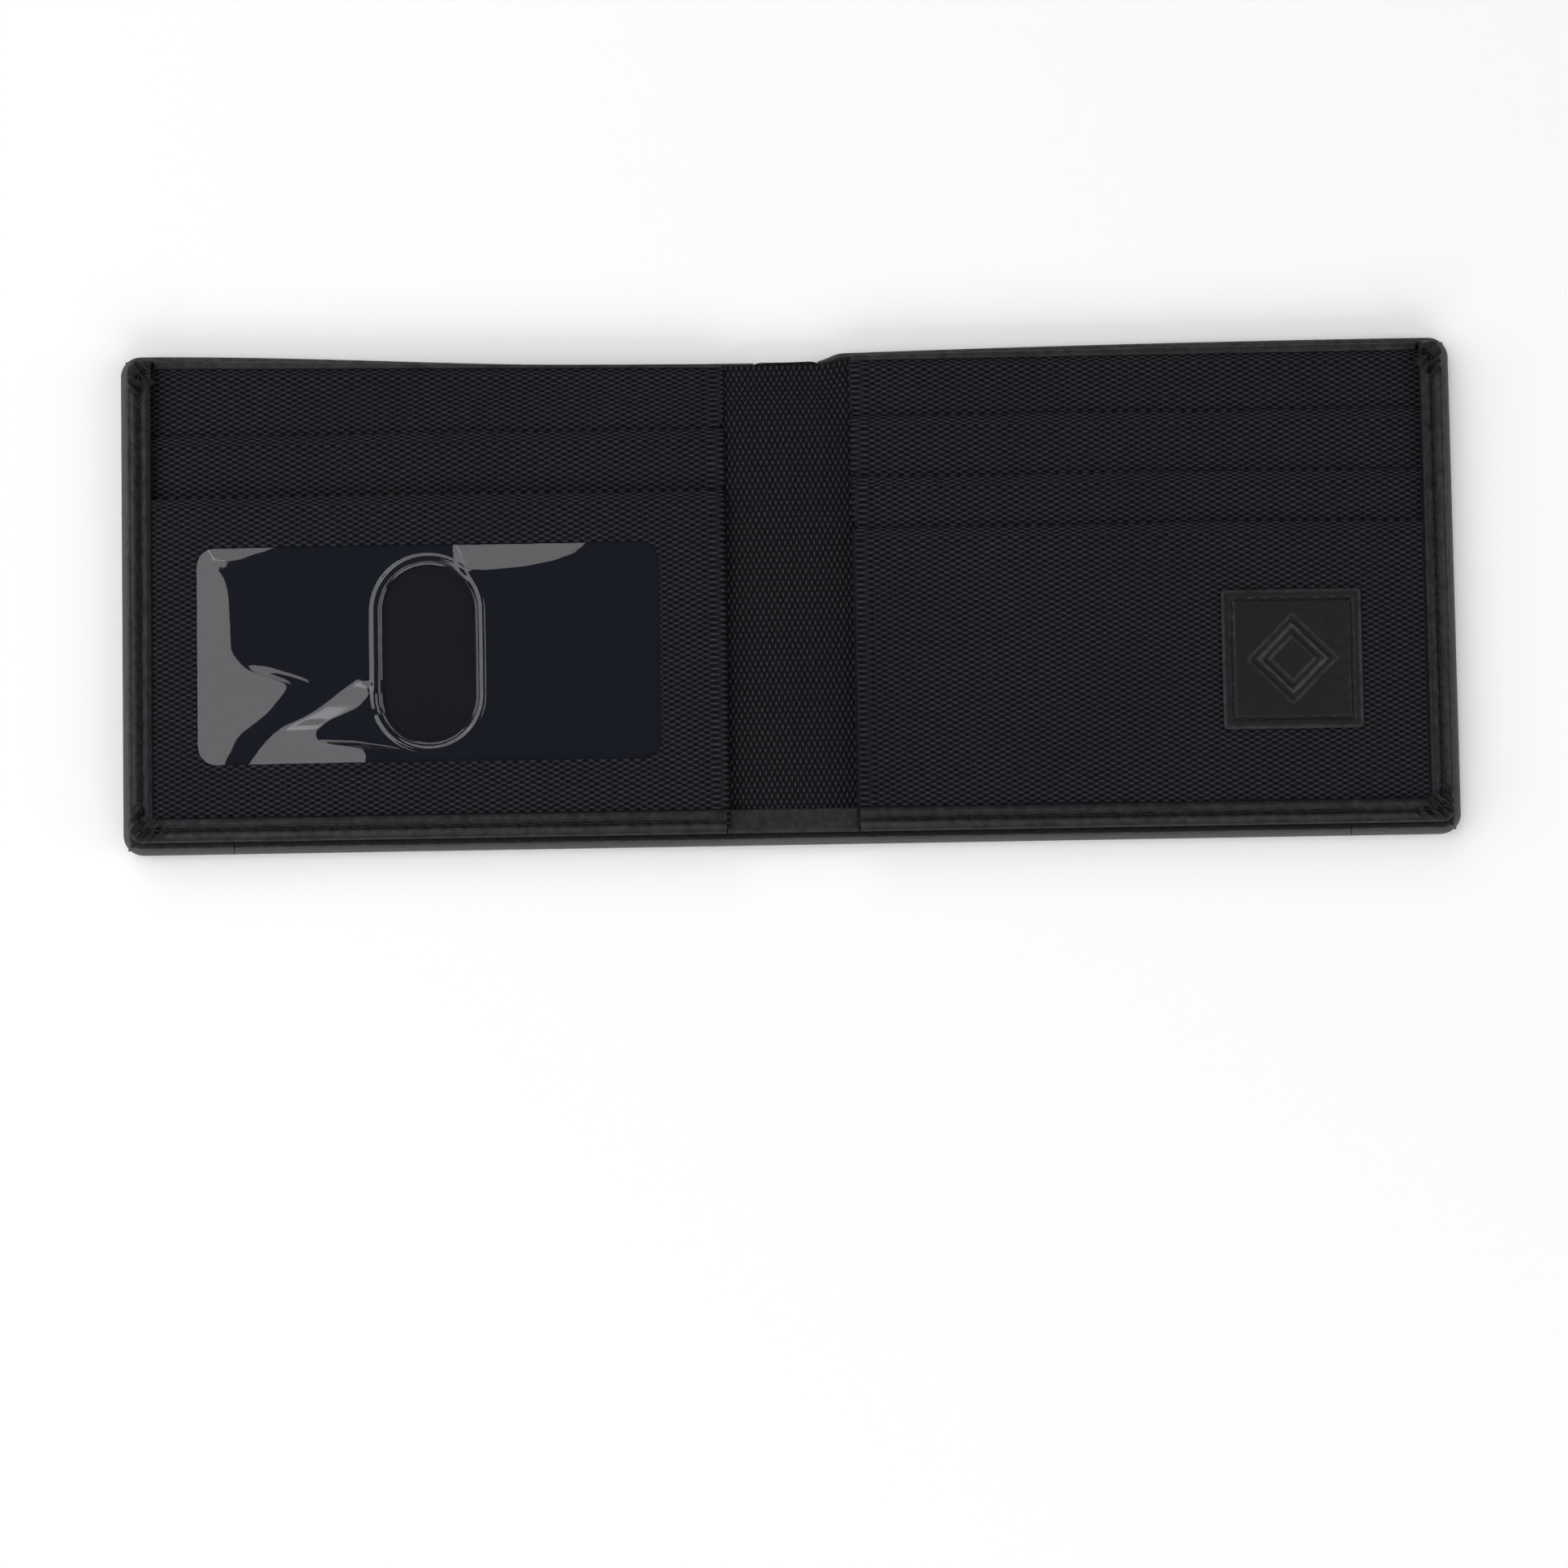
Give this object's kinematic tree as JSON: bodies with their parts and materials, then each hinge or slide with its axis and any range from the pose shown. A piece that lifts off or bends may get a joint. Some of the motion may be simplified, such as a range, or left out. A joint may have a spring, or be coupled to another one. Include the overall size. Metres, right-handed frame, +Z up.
{
  "type": "bifold wallet",
  "caption": "Bifold wallet in woven cloth and leather, open flat: card pockets, a clear identity card window with a thumb hole, and a banknote compartment behind.",
  "frame": {"origin": "middle of the underside of the wallet as it lies open", "axes": "+X along the open wallet towards the panel with the leather patch, +Y towards the mouth of the banknote compartment, +Z up out of the card pockets"},
  "size_m": [0.224, 0.084, 0.0077],
  "materials": {
    "woven_cloth": "black plain weave with a slight sheen",
    "leather": "black fine-grained leather, satin, greyer on cut edges",
    "lining": "thin black lining",
    "smooth_cloth": "smooth dark navy cloth",
    "board": "stiffener board, hidden",
    "clear_film": "clear flexible film, glossy"
  },
  "bodies": {
    "left_panel": {"outer_cloth_left": "woven_cloth", "leather_band_left": "leather", "top_binding_left": "leather", "bottom_binding_left": "leather", "stiffener_left": "board", "bill_lining_left": "lining", "divider_left": "woven_cloth", "left_pocket_back": "woven_cloth", "left_card_pocket": "woven_cloth", "id_pocket_backing": "smooth_cloth", "id_window_film": "clear_film", "id_window_frame": "woven_cloth", "edge_binding_left": "leather", "edge_binding_bottom_left": "leather", "edge_trim_top_left": "leather", "gusset_binding_left": "leather"},
    "spine": {"outer_cloth_spine": "woven_cloth", "bill_lining_spine": "lining", "bottom_binding_spine": "leather", "divider_spine": "woven_cloth", "gusset_binding_spine": "leather"},
    "right_panel": {"outer_cloth_right": "woven_cloth", "leather_band_right": "leather", "top_binding_right": "leather", "bottom_binding_right": "leather", "stiffener_right": "board", "bill_lining_right": "lining", "divider_right": "woven_cloth", "right_pocket_back": "woven_cloth", "right_card_pocket_upper": "woven_cloth", "right_card_pocket_middle": "woven_cloth", "right_card_pocket_lower": "woven_cloth", "leather_patch": "leather", "edge_binding_right": "leather", "edge_binding_bottom_right": "leather", "edge_trim_top_right": "leather", "gusset_binding_right": "leather"}
  },
  "joints": [
    {"name": "left_fold", "type": "hinge", "parent": "left_panel", "child": "spine", "pos_m": [-0.0052, 0, 0.0033], "axis": [0, -1, 0], "range_deg": [0, 90]},
    {"name": "right_fold", "type": "hinge", "parent": "spine", "child": "right_panel", "pos_m": [0.0052, 0, 0.0033], "axis": [0, -1, 0], "range_deg": [0, 90]}
  ],
  "couplings": [
    {"joint": "right_fold", "follows": "left_fold", "ratio": 1}
  ]
}
